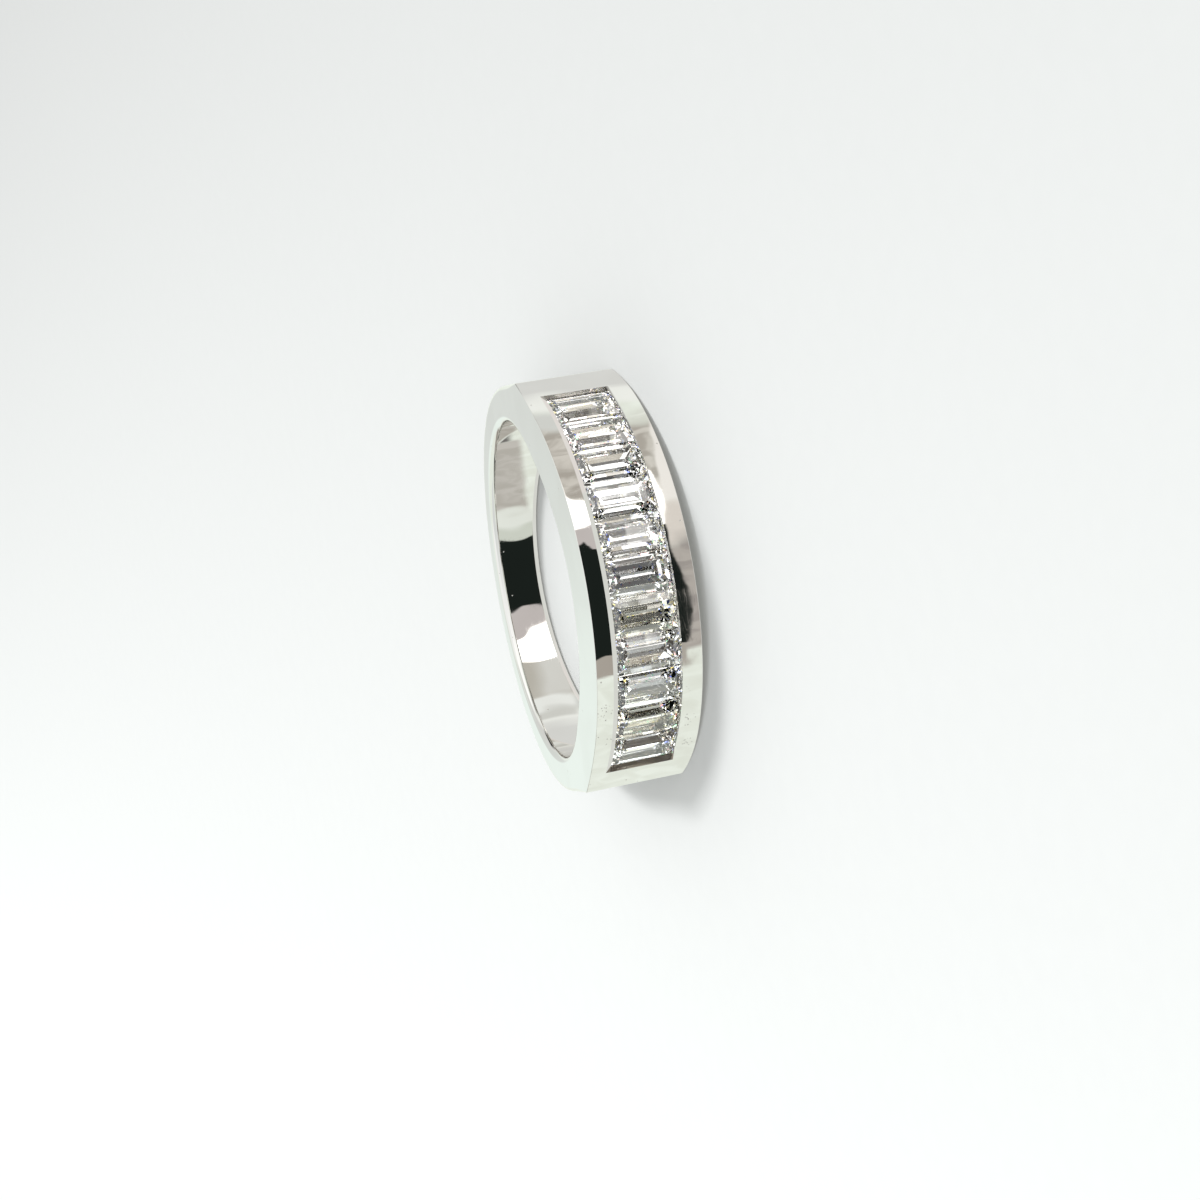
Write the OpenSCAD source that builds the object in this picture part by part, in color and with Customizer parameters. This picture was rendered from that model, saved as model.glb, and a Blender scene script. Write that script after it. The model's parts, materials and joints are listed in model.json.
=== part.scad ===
/* [Finger hole] */
// Radius of the finger hole's wall
bore_r = 8.4; // [7.4:0.05:10]
// Radius of the rounding along the finger hole's edges
hole_edge_r = 0.32; // [0.2:0.02:0.36]

/* [Shank] */
// Thickness of the metal at the back of the shank
shank_t = 1.5; // [1.2:0.05:2]
// Width of the shank at its back
shank_w = 2.1; // [1.6:0.1:3.6]
// How far the shank's outer circle is set towards the stones
shank_shift = 0.25; // [0:0.05:0.4]
// Radius of the rounding along the shank's outer edges
shank_edge_r = 0.35; // [0.2:0.05:0.6]

/* [Head] */
// Thickness of the metal at the middle of the head, from the finger hole to the face
head_t = 2.65; // [2.4:0.05:3.2]
// Width of the head along the finger hole's axis
head_w = 5.25; // [5:0.05:6.4]
// Distance from the middle to the edge where the face turns into a shoulder
head_reach = 9.9; // [9.7:0.05:10]
// Radius of the rounding along that edge
head_edge_r = 0.4; // [0.2:0.05:0.8]
// Distance from the finger hole's axis to where the sides begin to draw in
taper_start = 6.4; // [5:0.1:8]
// Radius of the long bend at that place
taper_bend_r = 30; // [20:1:40]

/* [Stones] */
// Distance from stone to stone along the face
stone_pitch = 1.9; // [1.5:0.05:1.9]
// Length of a stone across the band, ends under the lips included
stone_l = 3.3; // [2.8:0.05:3.6]
// Height of a stone's crown, from the girdle to the table
crown_h = 0.24; // [0.18:0.01:0.3]
// Angle of the crown's facets to the table, in degrees
crown_angle = 30; // [26:1:36]
// Height of the girdle
girdle_h = 0.05; // [0.03:0.01:0.08]
// Angles of the pavilion's rows of facets to the table, from the girdle down, in degrees
pavilion_angles = [54, 45, 36]; // [30:1:60]
// Share of the half width that each of those rows takes
pavilion_shares = [0.3, 0.4, 0.3]; // [0.2:0.05:0.5]

/* [Channel] */
// Depth of the stones' tables below the face
table_sink = 0.04; // [0.02:0.01:0.1]
// How far each lip reaches over the ends of the stones
lip_reach = 0.1; // [0.05:0.01:0.14]
// Width of the bright cut along the lip that is uppermost when the ring lies
bright_cut_w = 0.25; // [0.1:0.01:0.35]
// Width of the bright cut along the other lip
low_bright_cut_w = 0.06; // [0.04:0.01:0.35]
// Depth of both bright cuts at the stones
bright_cut_h = 0.1; // [0.05:0.01:0.12]
// Width of the ledge under each end of the stones
ledge_w = 0.4; // [0.2:0.05:0.5]
// Metal left between the channel's floor and the finger hole
floor_t = 1.1; // [0.8:0.05:1.3]
// Clearance between a stone and what it touches
stone_gap = 0.03; // [0.02:0.01:0.05]
// Mean clearance between the row of stones and the ends of the channel
end_gap = 0.1; // [0.02:0.01:0.2]
// How far the row is set out of the middle, towards the +X end
row_shift = 0.06; // [0:0.01:0.1]

/* [Hidden] */
NODES = [
    "band",
    "baguette_01", "baguette_02", "baguette_03", "baguette_04", "baguette_05", "baguette_06",
    "baguette_07", "baguette_08", "baguette_09", "baguette_10", "baguette_11"
];
stone_count = len(NODES) - 1;
$fn = 180;
metal = "#d9d8d4";
diamond = "#e9f1f2";
spare = 1;
beyond = 1.5;
round_fn = 60;
round_share = 0.94;

// Side view: a head face round the finger hole, shoulders that run straight back, and a round shank
face_r = bore_r + head_t;
shank_r = bore_r + shank_t + shank_shift;
head_corner = [head_reach, -sqrt(pow(face_r, 2) - pow(head_reach, 2))];
shank_centre = [0, -shank_shift];
corner_reach = norm(head_corner - shank_centre);
corner_turn = atan2(head_corner[1] - shank_centre[1], head_corner[0]);
tangent_turn = corner_turn + acos(shank_r / corner_reach);
tangent_point = shank_centre + shank_r * [cos(tangent_turn), sin(tangent_turn)];
shoulder_way = (tangent_point - head_corner) / norm(tangent_point - head_corner);
shoulder_in = [-shoulder_way[1], shoulder_way[0]];
shoulder_lean = atan2(-shoulder_way[0], shoulder_way[1]);

// Rounding of the edge between face and shoulder: a circle inside the face and beside the shoulder
edge_base = head_corner + head_edge_r * shoulder_in;
edge_along = edge_base * shoulder_way;
edge_root = sqrt(pow(edge_along, 2) - edge_base * edge_base + pow(face_r - head_edge_r, 2));
edge_slide = edge_along > 0 ? edge_root - edge_along : -edge_root - edge_along;
edge_centre = edge_base + edge_slide * shoulder_way;

// Sides: parallel along the head, a long bend, then drawing in to the back of the shank
back_y = bore_r + shank_t;
taper = atan((head_w - shank_w) / 2 / (back_y + taper_start));
bend_from = -taper_start - taper_bend_r * tan(taper / 2);
bend_to = bend_from + taper_bend_r * sin(taper);
bend_centre = [bend_from, head_w / 2 - taper_bend_r];
reach = 2 * face_r;

// Half the width that the drawn-in sides would have at a depth y
function side_z(y) = head_w / 2 - (y + taper_start) * tan(taper);

// Stones: each girdle meets its neighbour's, so its width follows from the pitch at the girdle
pitch_angle = stone_pitch / face_r * 180 / PI;
table_r = face_r - table_sink;
girdle_r = table_r - crown_h - girdle_h;
stone_w = 2 * girdle_r * tan(pitch_angle / 2) - stone_gap;
crown_run = crown_h / tan(crown_angle);
pavilion_run = [for (share = pavilion_shares) share * stone_w / 2];
pavilion_drop = [for (i = [0 : len(pavilion_run) - 1]) pavilion_run[i] * tan(pavilion_angles[i])];

// Sum of the first n entries of a list
function sum_to(list, n) = n <= 0 ? 0 : list[n - 1] + sum_to(list, n - 1);

// Half of a stone's cut, from the table's edge to the bottom: distance out from the middle, and depth
function half_cut(half) = concat(
    [[half - crown_run, 0], [half, crown_h]],
    [for (n = [0 : len(pavilion_run)])
        [half - sum_to(pavilion_run, n), crown_h + girdle_h + sum_to(pavilion_drop, n)]]);
function reversed(list) = [for (i = [len(list) - 1 : -1 : 0]) list[i]];
function full_cut(half) = concat(half_cut(half), [for (p = reversed(half_cut(half))) [-p[0], p[1]]]);

// Channel: opening, lips, grooves for the girdles, ledges and floor, as half a cross-section
open_z = stone_l / 2 - lip_reach;
groove_z = stone_l / 2 + stone_gap;
ledge_z = groove_z - ledge_w;
// A flat stone's corners lie further from the middle of the ring than the middle of its girdle does
corner_rise = norm([stone_w / 2, girdle_r]) - girdle_r;
lip_under_r = table_r - crown_h * (1 - lip_reach / crown_run) + stone_gap + corner_rise;
groove_top_r = table_r - crown_h + stone_gap + corner_rise;
groove_base_r = girdle_r - stone_gap;
ledge_r = groove_base_r - ledge_w * tan(pavilion_angles[0]);
floor_r = bore_r + floor_t;
channel_angle = stone_count * pitch_angle + 2 * end_gap / face_r * 180 / PI;
row_turn = row_shift / face_r * 180 / PI;

// Half of the channel's cross-section, with a bright cut of the given width
function half_channel(cut_w) = [
    [face_r + spare, open_z + cut_w + spare * cut_w / bright_cut_h],
    [face_r - bright_cut_h, open_z],
    [lip_under_r, open_z],
    [groove_top_r, groove_z],
    [groove_base_r, groove_z],
    [ledge_r, ledge_z],
    [floor_r, ledge_z]
];

// The ring lies on one drawn-in side face, and its finger hole's axis meets the floor at the origin
lie_up = side_z(0) * cos(taper);
lie_along = lie_up * tan(taper);

module laid() {
    translate([0, lie_along, lie_up])
        rotate([-taper, 0, 0])
            children();
}

// Puts its child on one drawn-in side: its z is 0 on the side face and grows outwards
module on_side(side) {
    mirror([0, 0, side < 0 ? 1 : 0])
        translate([0, 0, side_z(0)])
            rotate([-taper, 0, 0])
                children();
}

module side_view() {
    difference() {
        union() {
            intersection() {
                circle(r = face_r);
                translate([-reach, -reach])
                    square([2 * reach, reach + head_corner[1]]);
            }
            polygon([
                head_corner,
                tangent_point,
                [-tangent_point[0], tangent_point[1]],
                [-head_corner[0], head_corner[1]]
            ]);
            translate(shank_centre)
                circle(r = shank_r);
        }
        for (side = [-1, 1])
            mirror([side < 0 ? 1 : 0, 0])
                corner_waste();
    }
}

// What the rounding takes off the corner between face and shoulder
module corner_waste() {
    on_face = edge_centre * face_r / (face_r - head_edge_r);
    on_shoulder = edge_centre - head_edge_r * shoulder_in;
    difference() {
        polygon([
            edge_centre,
            for (p = [on_face, head_corner, on_shoulder]) edge_centre + beyond * (p - edge_centre)
        ]);
        translate(edge_centre)
            circle(r = head_edge_r, $fn = round_fn);
    }
}

// End view, along the width of the finger: y to the back, z along the finger hole's axis
module end_view() {
    translate([-reach, -head_w / 2])
        square([reach + bend_from, head_w]);
    for (side = [-1, 1])
        mirror([0, side < 0 ? 1 : 0])
            intersection() {
                translate(bend_centre)
                    circle(r = taper_bend_r);
                translate([bend_from, 0])
                    square([bend_to - bend_from, head_w]);
            }
    polygon([
        [bend_to, -side_z(bend_to)],
        [reach, -side_z(reach)],
        [reach, side_z(reach)],
        [bend_to, side_z(bend_to)]
    ]);
}

// Waste outside a quarter round of radius r whose outer corner is at the origin. The round's centre lies a
// little less than r in from both faces, so that it meets the tilted sides and walls at a clear angle
module quarter_waste(r) {
    centre_in = round_share * r;
    translate([-centre_in, -centre_in])
        difference() {
            square(centre_in + spare);
            circle(r = r, $fn = round_fn);
        }
}

// Takes the sharp edges off the shank and the shoulders on one side
module shank_edge_waste(side) {
    on_side(side) {
        translate([0, -shank_shift, 0])
            rotate([0, 0, tangent_turn])
                rotate_extrude(angle = 180 - 2 * tangent_turn)
                    translate([shank_r, 0])
                        quarter_waste(shank_edge_r);
        for (hand = [-1, 1])
            mirror([hand < 0 ? 1 : 0, 0, 0])
                translate([tangent_point[0], tangent_point[1], 0])
                    rotate([90, 0, shoulder_lean])
                        linear_extrude(height = reach)
                            quarter_waste(shank_edge_r);
    }
}

// Takes the sharp edge off the finger hole on one side
module hole_edge_waste(side) {
    on_side(side)
        rotate_extrude()
            translate([bore_r, 0])
                mirror([1, 0])
                    quarter_waste(hole_edge_r);
}

module channel() {
    rotate([0, 0, -90 - channel_angle / 2])
        rotate_extrude(angle = channel_angle)
            polygon(concat(
                half_channel(bright_cut_w),
                [for (p = reversed(half_channel(low_bright_cut_w))) [p[0], -p[1]]]));
}

// One piece of polished white gold: head, shoulders and shank, with the channel cut into the head
module band() {
    color(metal)
        laid()
            difference() {
                intersection() {
                    linear_extrude(height = reach, center = true)
                        side_view();
                    rotate([90, 0, 90])
                        linear_extrude(height = reach, center = true)
                            end_view();
                }
                cylinder(r = bore_r, h = reach, center = true);
                channel();
                for (side = [-1, 1]) {
                    hole_edge_waste(side);
                    shank_edge_waste(side);
                }
            }
}

// One step-cut stone: the same cut seen from its long side and from its end, where they meet
module cut_stone() {
    intersection() {
        linear_extrude(height = 2 * stone_l, center = true)
            polygon(full_cut(stone_w / 2));
        rotate([90, 0, 90])
            linear_extrude(height = 2 * stone_w, center = true)
                polygon([for (p = full_cut(stone_l / 2)) [p[1], p[0]]]);
    }
}

// The stone at a place in the row, counted from the -X end
module baguette(place) {
    color(diamond)
        laid()
            rotate([0, 0, (place - (stone_count + 1) / 2) * pitch_angle + row_turn])
                translate([0, -table_r, 0])
                    cut_stone();
}

band();
baguette(1);  // baguette_01
baguette(2);  // baguette_02
baguette(3);  // baguette_03
baguette(4);  // baguette_04
baguette(5);  // baguette_05
baguette(6);  // baguette_06
baguette(7);  // baguette_07
baguette(8);  // baguette_08
baguette(9);  // baguette_09
baguette(10);  // baguette_10
baguette(11);  // baguette_11
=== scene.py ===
import json
import math

import bmesh
import bpy
from mathutils import Matrix, Vector


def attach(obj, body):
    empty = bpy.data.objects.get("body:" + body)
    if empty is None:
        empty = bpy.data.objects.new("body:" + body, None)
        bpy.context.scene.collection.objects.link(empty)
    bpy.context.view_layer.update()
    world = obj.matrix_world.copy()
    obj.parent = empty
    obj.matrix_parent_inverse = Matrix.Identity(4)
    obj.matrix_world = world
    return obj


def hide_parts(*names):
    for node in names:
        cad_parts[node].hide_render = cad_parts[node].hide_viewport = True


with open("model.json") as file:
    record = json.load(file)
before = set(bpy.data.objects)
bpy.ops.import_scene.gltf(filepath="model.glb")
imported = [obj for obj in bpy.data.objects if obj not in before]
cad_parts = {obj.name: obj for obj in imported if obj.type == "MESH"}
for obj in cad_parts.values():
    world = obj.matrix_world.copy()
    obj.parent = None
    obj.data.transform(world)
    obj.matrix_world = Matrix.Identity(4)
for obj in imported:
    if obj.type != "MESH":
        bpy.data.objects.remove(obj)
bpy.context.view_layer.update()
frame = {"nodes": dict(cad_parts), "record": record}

# Band: one casting of white gold, rhodium plated and polished. It is sawn and filed from a blank: a head face, two
# shoulders that run straight back and a round shank, all drawn in towards the back, with the finger hole through it.
# The channel for the stones is milled into the head, and each lip gets a bright cut.
MM = 0.001
# Sizes in mm, as in the construction. The stones face -y, and the back of the shank is at the highest y
finger_hole = next(m for m in frame["record"]["mounts"] if m["name"] == "finger_hole")
hole_r = finger_hole["dims"]["r_mm"]
head_width = finger_hole["dims"]["length_mm"]
taper = math.atan2(finger_hole["axis"][1], finger_hole["axis"][2])
head_thick = 2.65
face_r = hole_r + head_thick
corner_x = 9.9
corner_r = 0.4
shank_r = 10.15
shank_y = -0.25
draw_in_y = -6.4
bend_r = 30.0
side_rings = (0.28, 0.21, 0.25, 0.35, 1)
shank_round = 0.36
hole_round = 0.32
face_round = 0.025
fade_from_y = -2.3
fade_to_y = -5.0
face_steps, corner_steps, shoulder_steps, shank_steps = 126, 5, 16, 150
round_steps = 10


def only(piece):
    """Selects one piece alone and makes it the one that is worked on."""
    bpy.ops.object.select_all(action="DESELECT")
    piece.select_set(True)
    bpy.context.view_layer.objects.active = piece


def spin_on(centre, degrees, steps):
    """Spins what is selected about a line along the finger hole, counter-clockwise seen from above."""
    bpy.ops.mesh.spin(
        steps=steps, angle=-math.radians(degrees), center=(centre[0], centre[1], 0), axis=(0, 0, 1))


def push(x, y, z):
    """Extrudes what is selected, and moves the new end."""
    bpy.ops.mesh.extrude_region_move(TRANSFORM_OT_translate={"value": (x, y, z)})


def cut_away(piece, tool):
    """Takes one shape out of a piece, and puts the tool away."""
    only(piece)
    cut = piece.modifiers.new("cut", "BOOLEAN")
    cut.operation = "DIFFERENCE"
    cut.solver = "EXACT"
    cut.object = tool
    bpy.ops.object.modifier_apply(modifier=cut.name)
    bpy.data.objects.remove(tool)


# The outline in the side view, as one chain of arcs and straight runs that starts beside the lower corner
corner_y = -math.sqrt(face_r ** 2 - corner_x ** 2)
corner = Vector((corner_x, corner_y))
shank_centre = Vector((0, shank_y))
to_corner = corner - shank_centre
tangent_turn = math.atan2(to_corner.y, to_corner.x) + math.acos(shank_r / to_corner.length)
tangent = shank_centre + shank_r * Vector((math.cos(tangent_turn), math.sin(tangent_turn)))
shoulder_way = (tangent - corner).normalized()
shoulder_in = Vector((-shoulder_way.y, shoulder_way.x))
beside = corner + corner_r * shoulder_in
along = beside.dot(shoulder_way)
root = math.sqrt(along ** 2 - beside.dot(beside) + (face_r - corner_r) ** 2)
round_centre = beside + (root - along if along > 0 else -root - along) * shoulder_way
on_face = round_centre * face_r / (face_r - corner_r)
on_shoulder = round_centre - corner_r * shoulder_in
face_half = math.degrees(math.atan2(on_face.x, -on_face.y))
shoulder_run = tangent - on_shoulder


def turn_between(centre, start, end):
    """Degrees from one point to another, as seen from a third."""
    a, b = start - centre, end - centre
    return math.degrees(math.atan2(a.x * b.y - a.y * b.x, a.dot(b)))


corner_turn = turn_between(round_centre, on_face, on_shoulder)
shank_turn = 180 - 2 * math.degrees(tangent_turn)

bpy.ops.object.select_all(action="DESELECT")
bpy.ops.mesh.primitive_plane_add(size=1, location=(-on_face.x, on_face.y, -head_width / 2))
band = bpy.context.active_object
band.name = "white_gold_band"
band.data.name = "white_gold_band"
bpy.ops.object.transform_apply(location=True, rotation=True, scale=True)
bpy.ops.object.mode_set(mode="EDIT")
bpy.ops.mesh.select_mode(type="VERT")
bpy.ops.mesh.select_all(action="SELECT")
bpy.ops.mesh.merge(type="CENTER")
spin_on((0, 0), 2 * face_half, face_steps)
spin_on(round_centre, corner_turn, corner_steps)
for step in range(shoulder_steps):
    push(shoulder_run.x / shoulder_steps, shoulder_run.y / shoulder_steps, 0)
spin_on(shank_centre, shank_turn, shank_steps)
for step in range(shoulder_steps):
    push(shoulder_run.x / shoulder_steps, -shoulder_run.y / shoulder_steps, 0)
spin_on((-round_centre.x, round_centre.y), corner_turn, corner_steps)
bpy.ops.mesh.select_all(action="SELECT")
bpy.ops.mesh.remove_doubles(threshold=0.001)
# From the outline in to the finger hole, ring by ring and clear of the roundings, then the blank's thickness
shaping = bmesh.from_edit_mesh(band.data)
for share in side_rings:
    push(0, 0, 0)
    for point in [v for v in shaping.verts if v.select]:
        reach = math.hypot(point.co.x, point.co.y)
        point.co.xy *= 1 - (reach - hole_r) * share / reach
bpy.ops.mesh.select_all(action="SELECT")
push(0, 0, head_width)


def side_z(y):
    """Half the band's width at a depth: parallel along the head, a long bend, then drawn in to the back."""
    if y < bend_y:
        return head_width / 2
    if y < bend_y + bend_r * math.sin(taper):
        return bend_z + math.sqrt(bend_r ** 2 - (y - bend_y) ** 2)
    return head_width / 2 - (y - draw_in_y) * math.tan(taper)


bend_y = draw_in_y - bend_r * math.tan(taper / 2)
bend_z = head_width / 2 - bend_r
for point in shaping.verts:
    point.co.z = math.copysign(side_z(point.co.y), point.co.z)
bmesh.update_edit_mesh(band.data)
bpy.ops.mesh.select_all(action="SELECT")
bpy.ops.mesh.normals_make_consistent(inside=False)

# The edges: full rounds on the shank and the finger hole, which fade to a fine crisp edge along the head's face
bpy.ops.mesh.select_mode(type="EDGE")
bpy.ops.mesh.select_all(action="DESELECT")
bpy.ops.mesh.edges_select_sharp(sharpness=math.radians(40))
bpy.ops.object.mode_set(mode="OBJECT")
edge_share = band.data.attributes.new("bevel_weight_edge", "FLOAT", "EDGE")
for edge in band.data.edges:
    if not edge.select:
        continue
    a, b = (band.data.vertices[v].co for v in edge.vertices)
    if max(math.hypot(a.x, a.y), math.hypot(b.x, b.y)) < hole_r + 0.02:
        edge_share.data[edge.index].value = hole_round / shank_round
        continue
    fade = min(max((fade_from_y - (a.y + b.y) / 2) / (fade_from_y - fade_to_y), 0), 1)
    fade = fade * fade * (3 - 2 * fade)
    edge_share.data[edge.index].value = (1 - fade) + fade * face_round / shank_round

only(band)
rounding = band.modifiers.new("rounding", "BEVEL")
rounding.limit_method = "WEIGHT"
rounding.width = shank_round
rounding.segments = round_steps
rounding.use_clamp_overlap = False
bpy.ops.object.modifier_apply(modifier=rounding.name)

# The channel: a bright cut along each lip, the opening, a groove for the stones' ends, a ledge under them and a floor
stone_count = 11
stone_pitch = 1.9
end_gap = 0.1
opening_z, groove_z, ledge_z = 1.55, 1.68, 1.28
lip_under_r, groove_top_r, groove_base_r, ledge_r = 10.896, 10.838, 10.69, 10.139
floor_thick = 1.1
bright_cut_depth = 0.1
bright_cut, low_bright_cut = 0.25, 0.06
clear_above = 1.0
channel_steps = 110
channel_angle = math.degrees((stone_count * stone_pitch + 2 * end_gap) / face_r)
lip = [
    (face_r - bright_cut_depth, opening_z), (lip_under_r, opening_z), (groove_top_r, groove_z),
    (groove_base_r, groove_z), (ledge_r, ledge_z), (hole_r + floor_thick, ledge_z)]
run_out = (clear_above + bright_cut_depth) / bright_cut_depth
bpy.ops.mesh.primitive_plane_add(size=1)
channel = bpy.context.active_object
bpy.ops.object.mode_set(mode="EDIT")
bpy.ops.mesh.select_mode(type="VERT")
bpy.ops.mesh.select_all(action="SELECT")
bpy.ops.mesh.merge(type="CENTER")
upper = [(face_r + clear_above, opening_z + bright_cut * run_out)] + lip
lower = [(face_r + clear_above, opening_z + low_bright_cut * run_out)] + lip
bpy.ops.transform.translate(value=(0, -upper[0][0], upper[0][1]))
whole = upper + [(r, -z) for r, z in reversed(lower)]
for (r0, z0), (r1, z1) in zip(whole, whole[1:]):
    push(0, r0 - r1, z1 - z0)
bpy.ops.mesh.select_all(action="SELECT")
bpy.ops.mesh.edge_face_add()
bpy.ops.transform.rotate(
    value=math.radians(channel_angle / 2), orient_axis="Z", center_override=(0, 0, 0))
spin_on((0, 0), channel_angle, channel_steps)
bpy.ops.mesh.select_all(action="SELECT")
bpy.ops.mesh.normals_make_consistent(inside=False)
bpy.ops.object.mode_set(mode="OBJECT")
cut_away(band, channel)

bpy.ops.object.shade_smooth_by_angle(angle=math.radians(14))
even = band.modifiers.new("even", "WEIGHTED_NORMAL")
even.keep_sharp = True
even.weight = 80
bpy.ops.object.modifier_apply(modifier=even.name)

# How dark and matte a face in the channel is: 0 is polished, and 1 is where neither the wheel nor the brush
# reaches. The darkness is also painted shade of the recess, deepest on the low end wall and lighter on the high one
channel_shade_share, low_end_shade_share, high_end_shade_share = 0.08, 0.85, 0.42
end_turn = channel_angle / 2
touch = 0.05
recess = band.data.attributes.new("recess", "FLOAT", "FACE")
for face in band.data.polygons:
    middle = face.center
    turned = math.degrees(math.atan2(middle.x, -middle.y))
    reach = math.hypot(middle.x, middle.y)
    if (abs(middle.z) < groove_z + 0.02 and abs(turned) < end_turn + touch
            and hole_r + floor_thick / 2 < reach < face_r - bright_cut_depth - 0.01):
        recess.data[face.index].value = (
            low_end_shade_share if turned < touch - end_turn else high_end_shade_share if turned > end_turn - touch
            else channel_shade_share)

# It lies on one drawn-in side, and the finger hole's axis meets the floor at the origin
lie_up = side_z(0) * math.cos(taper)
lie = Matrix.Translation((0, lie_up * math.tan(taper), lie_up)) @ Matrix.Rotation(-taper, 4, "X")
band.matrix_world = Matrix.Scale(MM, 4) @ lie
bpy.ops.object.transform_apply(location=True, rotation=True, scale=True)

# Polish: mirror-like, with the soft swell that hand buffing leaves, hairline scratches and a few pits of the casting
gold = bpy.data.materials.new("polished_white_gold")
gold.use_nodes = True


def add(tree, kind, settings=(), inputs=()):
    """Adds a shader node: its own settings, then values or links for its inputs."""
    step = tree.nodes.new("ShaderNode" + kind)
    for name, value in dict(settings).items():
        setattr(step, name, value)
    for name, value in dict(inputs).items():
        socket = step.inputs[name]
        if isinstance(value, bpy.types.NodeSocket):
            tree.links.new(value, socket)
        else:
            socket.default_value = value
    return step


def spread(tree, value, lo, hi, to_lo=0.0, to_hi=1.0, kind="SMOOTHSTEP"):
    """Maps a number from one range to another, soft at both ends."""
    return add(tree, "MapRange", {"interpolation_type": kind}, {
        "Value": value, "From Min": lo, "From Max": hi, "To Min": to_lo, "To Max": to_hi}).outputs["Result"]


def reckon(tree, kind, *values):
    """One step of arithmetic on numbers or links."""
    return add(tree, "Math", {"operation": kind}, dict(enumerate(values))).outputs["Value"]


def blend_of(tree, share, first, second):
    """A mix of two colours, by a share between 0 and 1."""
    step = add(tree, "Mix", {"data_type": "RGBA"}, {0: share})
    for place, value in ((6, first), (7, second)):
        if isinstance(value, tuple):
            step.inputs[place].default_value = (*value, 1)
        else:
            tree.links.new(value, step.inputs[place])
    return step.outputs[2]


tree = gold.node_tree
finish = tree.nodes["Principled BSDF"]
in_mm = add(tree, "Mapping", {}, {
    "Vector": add(tree, "TexCoord").outputs["Object"], "Scale": (1 / MM,) * 3}).outputs["Vector"]
swell = add(tree, "TexNoise", {}, {
    "Vector": in_mm, "Scale": 0.5, "Detail": 0.6, "Roughness": 0.4, "Distortion": 0.5}).outputs["Fac"]
hairlines = None
for turned, thin, strength in (((0.4, 0.2, 0.9), 0.006, 1.0), ((1.1, -0.5, 2.3), 0.004, 0.8)):
    stretched = add(tree, "Mapping", {}, {
        "Vector": in_mm, "Rotation": turned, "Scale": (0.5, 3.2, 3.2)}).outputs["Vector"]
    line = add(tree, "TexNoise", {}, {
        "Vector": stretched, "Scale": 1.0, "Detail": 1.0, "Distortion": 0.3}).outputs["Fac"]
    line = reckon(tree, "MULTIPLY", spread(
        tree, reckon(tree, "ABSOLUTE", reckon(tree, "SUBTRACT", line, 0.5)), 0, thin, 1, 0), strength)
    hairlines = line if hairlines is None else reckon(tree, "MAXIMUM", hairlines, line)
patches = add(tree, "TexNoise", {}, {"Vector": in_mm, "Scale": 0.8, "Detail": 1.0}).outputs["Fac"]
hairlines = reckon(tree, "MULTIPLY", hairlines, spread(tree, patches, 0.45, 0.6))
pits = spread(tree, add(tree, "TexVoronoi", {}, {
    "Vector": in_mm, "Scale": 1.3}).outputs["Distance"], 0.02, 0.055, 1, 0)
# Rubbed places: a patch of tiny dents low on the side, and rough spots along both borders near the lower end
rubbed = None
for x, y, z, size in (
        (-9.13, -1.26, 2.13, 0.42), (-5.95, -9.31, 2.28, 0.5), (-7.38, -8.22, 1.79, 0.45), (-5.67, -9.48, -1.79, 0.3),
        (-7.14, -8.44, -1.95, 0.55), (-8.24, -7.36, -2.08, 0.4)):
    away = add(tree, "VectorMath", {"operation": "DISTANCE"}, {0: in_mm, 1: lie @ Vector((x, y, z))}).outputs["Value"]
    near = spread(tree, away, size * 0.3, size, 1, 0)
    rubbed = near if rubbed is None else reckon(tree, "MAXIMUM", rubbed, near)
dents = add(tree, "TexVoronoi", {}, {"Vector": in_mm, "Scale": 7.0}).outputs["Distance"]
pits = reckon(tree, "MAXIMUM", pits, reckon(tree, "MULTIPLY", rubbed, spread(tree, dents, 0.1, 0.26, 1, 0)))
painted_shade_and_matte = add(tree, "Attribute", {"attribute_name": "recess"}).outputs["Fac"]
tone = blend_of(tree, spread(tree, swell, 0.3, 0.7), (0.845, 0.835, 0.815), (0.875, 0.868, 0.85))
tone = blend_of(tree, pits, tone, (0.55, 0.52, 0.49))
# Painted shade: the channel's faces, and most of all its end walls, get a dark brown colour
tone = blend_of(tree, painted_shade_and_matte, tone, (0.22, 0.18, 0.145))
tree.links.new(tone, finish.inputs["Base Color"])
rough = reckon(tree, "MULTIPLY_ADD", hairlines, 0.025, spread(tree, patches, 0.35, 0.7, 0.01, 0.022))
rough = reckon(tree, "MAXIMUM", rough, reckon(tree, "MULTIPLY", painted_shade_and_matte, 0.34))
rough = reckon(tree, "MAXIMUM", rough, reckon(tree, "MULTIPLY", pits, 0.4))
tree.links.new(rough, finish.inputs["Roughness"])
buffed = add(tree, "Bump", {}, {"Strength": 1.0, "Distance": 1.3e-6, "Height": swell})
marks = reckon(tree, "MULTIPLY_ADD", hairlines, -0.002, reckon(tree, "MULTIPLY", pits, -1.0))
marked = add(tree, "Bump", {}, {
    "Strength": 1.0, "Distance": 8.0e-6, "Height": marks, "Normal": buffed.outputs["Normal"]})
tree.links.new(marked.outputs["Normal"], finish.inputs["Normal"])
finish.inputs["Metallic"].default_value = 1.0
band.data.materials.clear()
band.data.materials.append(gold)
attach(band, "root")
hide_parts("band")
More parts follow.
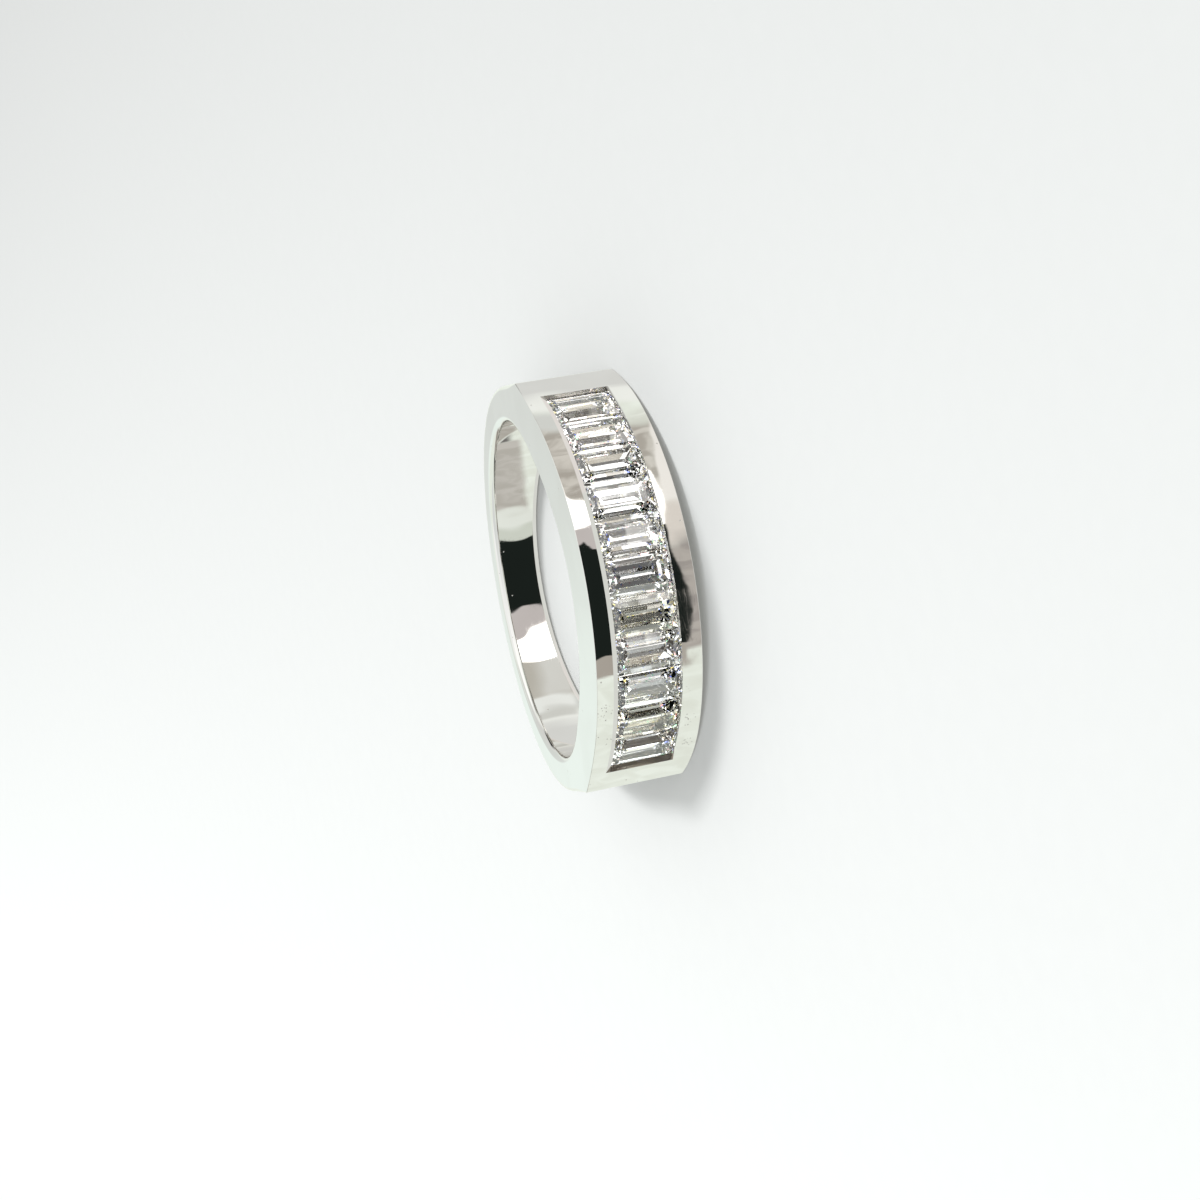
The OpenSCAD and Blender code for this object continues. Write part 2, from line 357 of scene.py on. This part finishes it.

# Baguettes: eleven step-cut diamonds of the same size, laid side by side in the channel with their ends under the
# lips. They keep the shapes of the construction, which are the cut itself, and get the stone's clear material, with
# the faint unevenness of a real crystal. The small coloured sparks at the steps near the ends are painted fire:
# dispersed light painted into the stones' colour.
diamond = bpy.data.materials.new("step_cut_diamond")
diamond.use_nodes = True
tree = diamond.node_tree
cut = tree.nodes["Principled BSDF"]
in_mm = add(tree, "Mapping", {}, {
    "Vector": add(tree, "TexCoord").outputs["Object"], "Rotation": (taper, 0, 0), "Scale": (1 / MM,) * 3,
    "Location": (0, 0, -lie_up / math.cos(taper))}).outputs["Vector"]
across = reckon(tree, "ABSOLUTE", add(tree, "SeparateXYZ", {}, {"Vector": in_mm}).outputs["Z"])
cloud = add(tree, "TexNoise", {}, {"Vector": in_mm, "Scale": 1.4, "Detail": 2.0}).outputs["Fac"]
body = blend_of(tree, spread(tree, cloud, 0.35, 0.65), (0.97, 0.985, 1.0), (1.0, 0.995, 0.975))
body.node.name = "body"
cells = add(tree, "TexVoronoi", {}, {"Vector": in_mm, "Scale": 7.0})
hue = add(tree, "SeparateColor", {}, {"Color": cells.outputs["Color"]}).outputs
# Painted fire: coloured specks in the stones' own colour that stand for dispersed light, more of them towards the ends
fire_chance = reckon(tree, "ADD", hue["Green"], spread(tree, across, 0.7, 1.3, -0.12, 0.16))
painted_fire = reckon(tree, "MULTIPLY", spread(tree, fire_chance, 0.78, 0.81), spread(
    tree, cells.outputs["Distance"], 0.24, 0.4, 1, 0))


def one_of(tree, value, first, *others):
    """Picks a colour by a number: the first one, then each of the others from its own value on."""
    pick = add(tree, "ValToRGB", {}, {"Fac": value})
    pick.color_ramp.interpolation = "CONSTANT"
    pick.color_ramp.elements[0].color = (*first, 1)
    for start, colour in others:
        pick.color_ramp.elements.new(start).color = (*colour, 1)
    pick.color_ramp.elements.remove(pick.color_ramp.elements[-1])
    return pick.outputs["Color"]


# The painted fire's colours: blue, green, yellow and pink
body = blend_of(tree, painted_fire, body, one_of(
    tree, hue["Red"], (0.15, 0.24, 1.0), (0.32, (0.25, 0.9, 0.5)), (0.5, (1.0, 0.86, 0.15)), (0.78, (1.0, 0.4, 0.42))))
tree.links.new(body, cut.inputs["Base Color"])
cut.inputs["Roughness"].default_value = 0.0
cut.inputs["IOR"].default_value = 2.417
cut.inputs["Transmission Weight"].default_value = 1.0
# Two stones of the parcel have a faintly smoky body
smoky_places = (2, 5)
smoky = diamond.copy()
smoky.name = "smoky_step_cut_diamond"
for place, colour in ((6, (0.78, 0.78, 0.71, 1)), (7, (0.84, 0.82, 0.74, 1))):
    smoky.node_tree.nodes["body"].inputs[place].default_value = colour
for place in range(1, stone_count + 1):
    stone = frame["nodes"]["baguette_%02d" % place]
    for slot in stone.material_slots:
        slot.material = smoky if place in smoky_places else diamond

# Floor: a plain pale board, which the metal and the stones don't mirror, because the studio's own walls surround them
bpy.ops.object.select_all(action="DESELECT")
bpy.ops.mesh.primitive_plane_add(size=3)
floor = bpy.context.active_object
floor.name = "floor"
board = bpy.data.materials.new("pale_board")
board.use_nodes = True
tree = board.node_tree
place = add(tree, "TexCoord").outputs["Object"]
grain = add(tree, "TexNoise", {}, {"Vector": place, "Scale": 900.0, "Detail": 3.0}).outputs["Fac"]
# Painted falloff of light: the board's colour is darker towards +x
painted_falloff = spread(tree, add(tree, "SeparateXYZ", {}, {"Vector": place}).outputs["X"], -0.04, 0.065, kind="LINEAR")
tone = blend_of(tree, painted_falloff, (0.655, 0.67, 0.665), (0.42, 0.425, 0.423))
tone = blend_of(tree, reckon(tree, "MULTIPLY", grain, 0.05), tone, (0.3, 0.3, 0.3))
tree.links.new(tone, tree.nodes["Principled BSDF"].inputs["Base Color"])
tree.nodes["Principled BSDF"].inputs["Roughness"].default_value = 0.9
floor.data.materials.append(board)
floor.visible_glossy = False
floor.visible_transmission = False

# Studio: a soft white tent with a dark opening for the camera, a bright window beside it and warm grey drapes. It is
# measured round the ring's own axis, in degrees: 0 is the way the stones face, and up is along the finger hole
scene = bpy.context.scene
scene.view_settings.view_transform = "Standard"
scene.cycles.max_bounces = 24
scene.cycles.glossy_bounces = 16
scene.cycles.transmission_bounces = 24
world = bpy.data.worlds.new("studio")
scene.world = world
world.use_nodes = True
tree = world.node_tree
tree.nodes.clear()


def seen(red, green, blue):
    """Light of a place that shows in polished gold as the given screen colour."""
    out = []
    for part, share in ((red, 0.862), (green, 0.853), (blue, 0.833)):
        part /= 255
        part = part / 12.92 if part <= 0.04045 else ((part + 0.055) / 1.055) ** 2.4
        out.append(part / share)
    return tuple(out)


def within(value, lo, hi, soft):
    """1 between two limits, which may be numbers or links, and 0 outside them."""
    over = spread(tree, reckon(tree, "SUBTRACT", value, lo), -soft, soft)
    under = spread(tree, reckon(tree, "SUBTRACT", hi, value), -soft, soft)
    return reckon(tree, "MULTIPLY", over, under)


def both(first, second):
    """1 only where two shares are both 1."""
    return reckon(tree, "MULTIPLY", first, second)


def runs(value, points):
    """A number that follows another along straight runs between the given points."""
    total = points[0][1]
    for (x0, y0), (x1, y1) in zip(points, points[1:]):
        total = reckon(tree, "ADD", total, spread(tree, value, x0, x1, 0.0, y1 - y0, "LINEAR"))
    return total


way = add(tree, "VectorRotate", {"rotation_type": "X_AXIS"}, {
    "Vector": add(tree, "TexCoord").outputs["Generated"], "Angle": taper}).outputs["Vector"]
apart = add(tree, "SeparateXYZ", {}, {"Vector": way}).outputs
up = reckon(tree, "MULTIPLY", reckon(tree, "ARCSINE", apart["Z"]), 180 / math.pi)
az = reckon(tree, "MULTIPLY", reckon(
    tree, "ARCTAN2", apart["X"], reckon(tree, "MULTIPLY", apart["Y"], -1)), 180 / math.pi)
behind = reckon(tree, "SUBTRACT", reckon(tree, "FLOORED_MODULO", az, 360), 180)
spot = add(tree, "CombineXYZ", {}, {"X": az, "Y": reckon(tree, "MULTIPLY", up, 12)}).outputs["Vector"]
# The drapes hang in soft folds, so their edges aren't straight
sway = add(tree, "TexNoise", {"noise_dimensions": "2D"}, {
    "Vector": spot, "Scale": 0.08, "Detail": 0.0}).outputs["Fac"]
az = reckon(tree, "ADD", az, reckon(tree, "MULTIPLY", reckon(tree, "SUBTRACT", sway, 0.5), 12))
folds = add(tree, "TexNoise", {"noise_dimensions": "2D"}, {
    "Vector": spot, "Scale": 0.13, "Detail": 3.0, "Distortion": 0.6}).outputs["Fac"]


def hung(tent, light, sides, heights):
    """Hangs one area in the tent. Sides and heights give where it starts and ends, and how soft its borders are."""
    return blend_of(tree, both(within(az, *sides), within(up, *heights)), tent, light)


pale = blend_of(tree, spread(tree, folds, 0.3, 0.7), seen(222, 226, 214), seen(231, 236, 225))
drape = blend_of(tree, spread(tree, folds, 0.35, 0.65), seen(170, 164, 154), seen(205, 200, 190))
tent = blend_of(tree, within(az, 104, 150, 4), pale, seen(210, 210, 205))
tent = blend_of(tree, within(az, 98, 112, 5), tent, seen(234, 235, 228))
tent = hung(tent, seen(206, 207, 201), (82, 97, 4), (-17.6, 60, 0.3))
tent = hung(tent, drape, (36, 84, 4), (-20, -12, 1))
tent = hung(tent, seen(165, 158, 148), (-48, -30, 1.5), (-20, -8, 1))
# The bench line: what the finger hole mirrors
bench = (-16.75, -14, 0.08)
tent = hung(tent, seen(229, 230, 224), (82, 95, 3), bench)
tent = hung(tent, seen(204, 204, 197), (95, 106, 3), bench)
tent = hung(tent, blend_of(
    tree, spread(tree, up, -16.3, -15.8), seen(208, 207, 200), seen(182, 178, 167)), (50, 82, 3), bench)
tent = hung(tent, blend_of(
    tree, spread(tree, folds, 0.35, 0.65), seen(176, 172, 163), seen(190, 186, 178)),
    (-128, -57, 3), (-16.55, -14, 0.1))
tent = hung(tent, blend_of(
    tree, spread(tree, az, -49, -45), seen(222, 225, 216), seen(200, 204, 192)), (-57, -30, 2), bench)
tent = hung(tent, seen(108, 105, 101), (-148, -128, 2), (-16.35, -15, 0.1))
tent = hung(tent, seen(72, 69, 60), (-116, -97, 2), (-15.9, -15.3, 0.05))
tent = hung(tent, seen(145, 138, 131), (97, 150, 2), (-15.9, -15, 0.05))
tent = hung(tent, seen(190, 183, 179), (10, 34, 1), (-20, -8, 1))
wall = blend_of(tree, spread(tree, behind, -3, 4.5), seen(209, 212, 206), seen(229, 237, 229))
tent = blend_of(tree, both(within(behind, -30, 30, 1), within(up, 0, 40, 3)), tent, wall)
# The room above the bench line: bright in front, with dark and warm places to the sides
room = (-13, 9, 0.5)
tent = hung(tent, seen(150, 143, 134), (-150, -112, 3), room)
tent = hung(tent, blend_of(
    tree, spread(tree, folds, 0.38, 0.62), seen(104, 98, 91), seen(205, 203, 195)), (-78, -40, 2), room)
tent = hung(tent, seen(78, 68, 60), (51, 96, 3), room)
tent = hung(tent, seen(38, 35, 33), (117, 140, 2), room)
tent = hung(tent, seen(38, 36, 34), (-112, -78, 2), room)
sky = blend_of(tree, spread(tree, az, -70, 80), (0.74, 0.76, 0.75), (1.2, 1.2, 1.18))
tent = hung(tent, sky, (-95, 100, 4), (22, 91, 2))
tent = hung(tent, sky, (-52, 52, 4), (6, 91, 2))
window = (2.3, 2.25, 2.15)
bright_from = runs(up, [(-17.8, 28), (-16.9, 33), (-16.65, 20), (-16.1, 26), (-15.6, 34)])
bright_to = runs(up, [(-17.8, 38), (-17.45, 44), (-17.1, 53), (-16.8, 60), (-16.6, 50)])
tent = hung(tent, window, (bright_from, bright_to, 1), (-18.3, 4, 0.3))
streak = runs(az, [(12, -19.36), (20, -19.43), (27, -19.57), (38, -19.42), (52, -19.2)])
tent = hung(tent, window, (12, 52, 1), (streak, -18.5, 0.03))
tent = blend_of(tree, within(up, 62, 91, 4), tent, (1.0, 1.01, 1.0))

ground = blend_of(tree, within(az, 30, 112, 5), pale, seen(234, 230, 222))
ground = blend_of(tree, within(az, 112, 180, 4), ground, seen(208, 208, 204))
ground = blend_of(tree, within(az, 12, 32, 2), ground, seen(214, 207, 197))
ground = blend_of(tree, within(az, -42, 13, 2), ground, blend_of(
    tree, spread(tree, folds, 0.4, 0.6), seen(158, 152, 146), seen(178, 172, 164)))
ground = blend_of(tree, within(up, -91, -24, 2), ground, blend_of(
    tree, within(az, 62, 135, 5), seen(212, 213, 206), seen(222, 217, 211)))
tent = blend_of(tree, spread(tree, up, -19.45, -19.35), ground, tent)

# The dark opening in front, which cuts through all of it
opening_end = runs(up, [
    (-19.4, 18), (-19, 15.5), (-17.8, 15.5), (-17.5, 21.8), (-16.2, 13.8), (-12, 14), (0, 20)])
opening_low = runs(az, [
    (-41, -19.25), (-38, -19.42), (-33, -19.56), (-22, -19.66), (-12, -19.6), (-2, -19.55), (8, -19.48), (22, -19.38)])
tent = hung(tent, seen(26, 31, 28), (-38.5, opening_end, 0.6), (opening_low, 4, 0.03))


def scattered(x, y, scale):
    """Three random numbers for each cell of a plane that is broken up into cells."""
    flat = add(tree, "CombineXYZ", {}, {"X": x, "Y": y}).outputs["Vector"]
    cells = add(tree, "TexVoronoi", {"voronoi_dimensions": "2D"}, {"Vector": flat, "Scale": scale})
    return add(tree, "SeparateColor", {}, {"Color": cells.outputs["Color"]}).outputs


# The stones gather it from all round through their steps, as small panes of light and shade with a little colour
panes = scattered(az, up, 0.19)
pane_light = runs(panes["Red"], [(0, 0.15), (0.12, 0.4), (0.35, 0.9), (0.7, 1.2), (1.0, 1.8)])
side_light = runs(az, [
    (-90, 2.9), (-62, 2.3), (-52, 0.35), (-44, 0.4), (-35, 1.3), (-27, 0.5), (-18, 0.1), (-4, 0.08), (6, 0.2),
    (14, 1.3), (28, 2.5), (38, 1.7), (56, 1.5), (76, 2.7)])
hint = blend_of(tree, spread(tree, panes["Red"], 0.05, 0.45), (1.0, 0.91, 0.75), blend_of(
    tree, spread(tree, az, -30, 10), (0.96, 1.0, 0.985), (1.0, 0.985, 0.97)))
flecks = scattered(az, reckon(tree, "MULTIPLY", up, 3), 0.5)
colours = one_of(
    tree, flecks["Green"],
    (0.22, 0.3, 1.0), (0.4, (0.4, 0.85, 0.55)), (0.52, (1.0, 0.84, 0.25)), (0.82, (1.0, 0.5, 0.5)))
aside = reckon(tree, "SUBTRACT", 1.0, within(up, -19.7, -12.5, 0.3))
hint = blend_of(tree, both(reckon(tree, "GREATER_THAN", flecks["Red"], 0.87), aside), hint, colours)
glints = reckon(tree, "MULTIPLY_ADD", both(reckon(tree, "GREATER_THAN", flecks["Blue"], 0.975), aside), 5, 1)
gathered = add(tree, "VectorMath", {"operation": "SCALE"}, {
    0: hint, "Scale": both(both(pane_light, side_light), glints)}).outputs["Vector"]
# Metal mirrors the tent, the stones show what they gather, and the floor is lit evenly
ray = add(tree, "LightPath").outputs
light = add(tree, "MixShader", {}, {
    0: ray["Is Glossy Ray"],
    1: add(tree, "Background", {}, {"Color": (1.12, 1.13, 1.12, 1)}).outputs["Background"],
    2: add(tree, "Background", {}, {"Color": tent}).outputs["Background"]}).outputs["Shader"]
light = add(tree, "MixShader", {}, {
    0: ray["Is Transmission Ray"], 1: light,
    2: add(tree, "Background", {}, {"Color": gathered}).outputs["Background"]}).outputs["Shader"]
tree.links.new(light, add(tree, "OutputWorld").inputs["Surface"])

lamp = bpy.data.lights.new("soft_box", "AREA")
lamp.energy = 2.6
lamp.size = 0.16
box = bpy.data.objects.new("soft_box", lamp)
scene.collection.objects.link(box)
box.location = (0.24, 0.12, 0.62)
box.rotation_euler = (-box.location).to_track_quat("-Z", "Y").to_euler()
box.visible_glossy = False
box.visible_transmission = False

lens = bpy.data.cameras.new("camera")
lens.sensor_width = 36
lens.lens = 78.46
lens.clip_start = 0.01
camera = bpy.data.objects.new("camera", lens)
scene.collection.objects.link(camera)
camera.location = (2.312 * MM, -119.813 * MM, 51.959 * MM)
camera.rotation_euler = [math.radians(d) for d in (-23.136, 64.639, -113.682)]
scene.camera = camera
